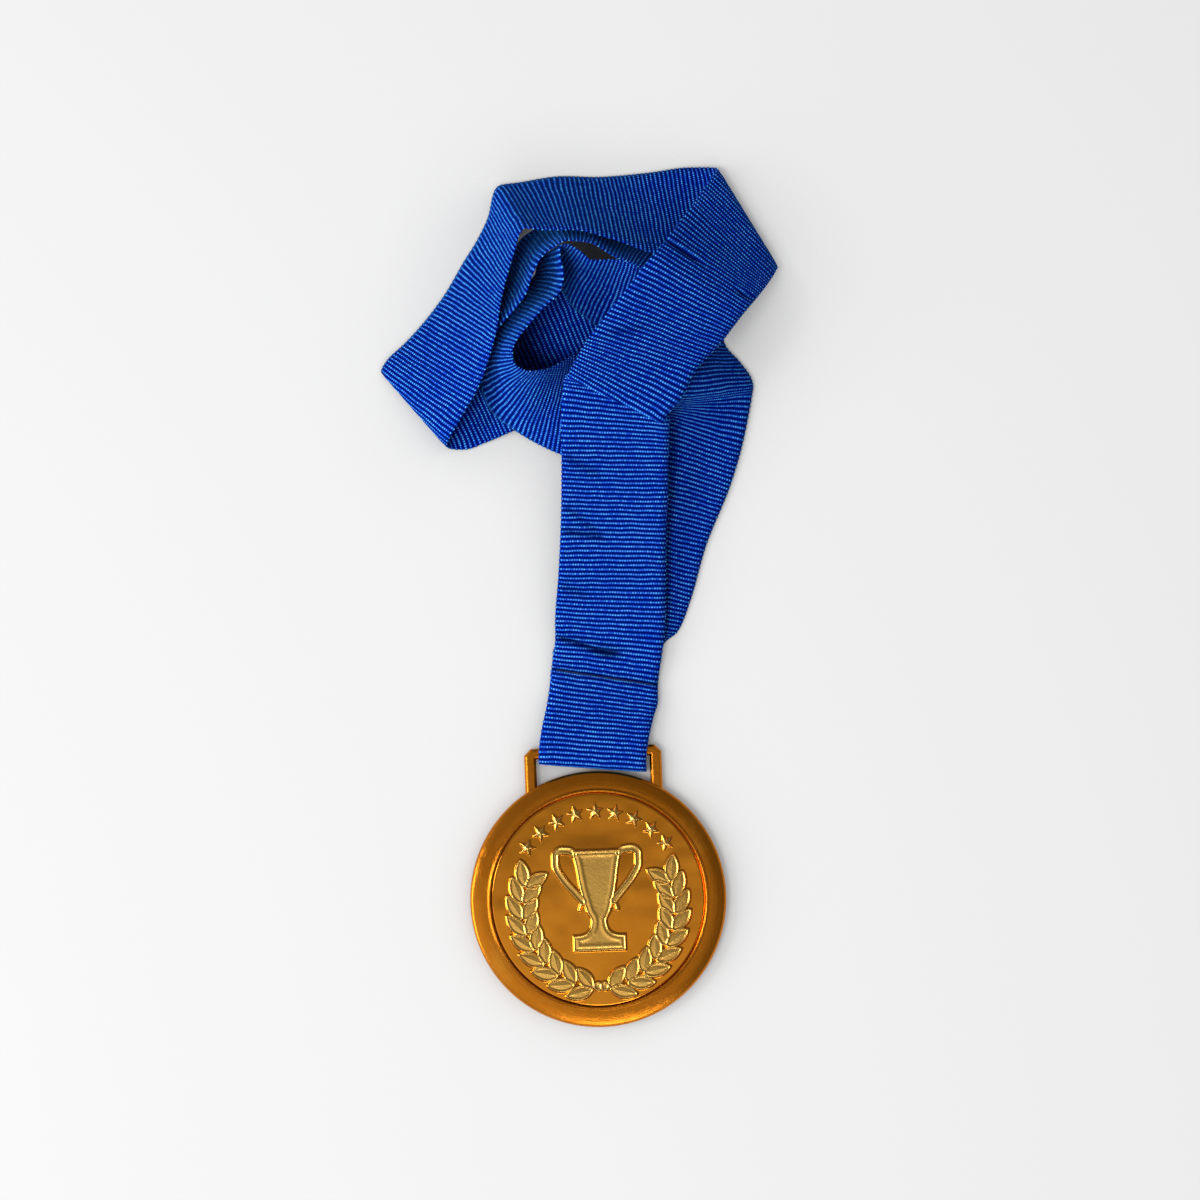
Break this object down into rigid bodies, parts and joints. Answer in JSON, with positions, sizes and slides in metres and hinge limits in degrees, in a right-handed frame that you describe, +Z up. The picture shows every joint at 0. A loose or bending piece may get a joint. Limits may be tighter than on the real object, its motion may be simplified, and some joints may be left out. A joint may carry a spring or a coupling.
{
  "type": "medal",
  "caption": "Gold round medal with a lug, a struck cup-and-wreath disc set in its face, and a blue grosgrain neck ribbon laid in a loose heap.",
  "frame": {"origin": "centre of the disc's flat back face, on the surface the medal lies on", "axes": "+X across the medal, +Y from the disc's centre to the lug and ribbon, +Z up through the struck face"},
  "size_m": [0.0942, 0.2007, 0.0254],
  "materials": {
    "gold_cast": "gold plated, brushed rim with polished bevels",
    "gold_struck": "gold plated, mirror field with satin relief",
    "adhesive": "soft translucent pad",
    "grosgrain": "ribbed woven polyester",
    "thread": "spun polyester sewing thread"
  },
  "bodies": {
    "ribbon": {"ribbon": "grosgrain", "needle_thread": "thread", "bobbin_thread": "thread"},
    "medal": {"medal_body": "gold_cast", "face_insert": "gold_struck", "insert_adhesive": "adhesive"}
  },
  "joints": [
    {"name": "medal_swing", "type": "hinge", "parent": "ribbon", "child": "medal", "pos_m": [0, 0.03445, 0.0022], "axis": [-1, 0, 0], "range_deg": [0, 120]}
  ]
}
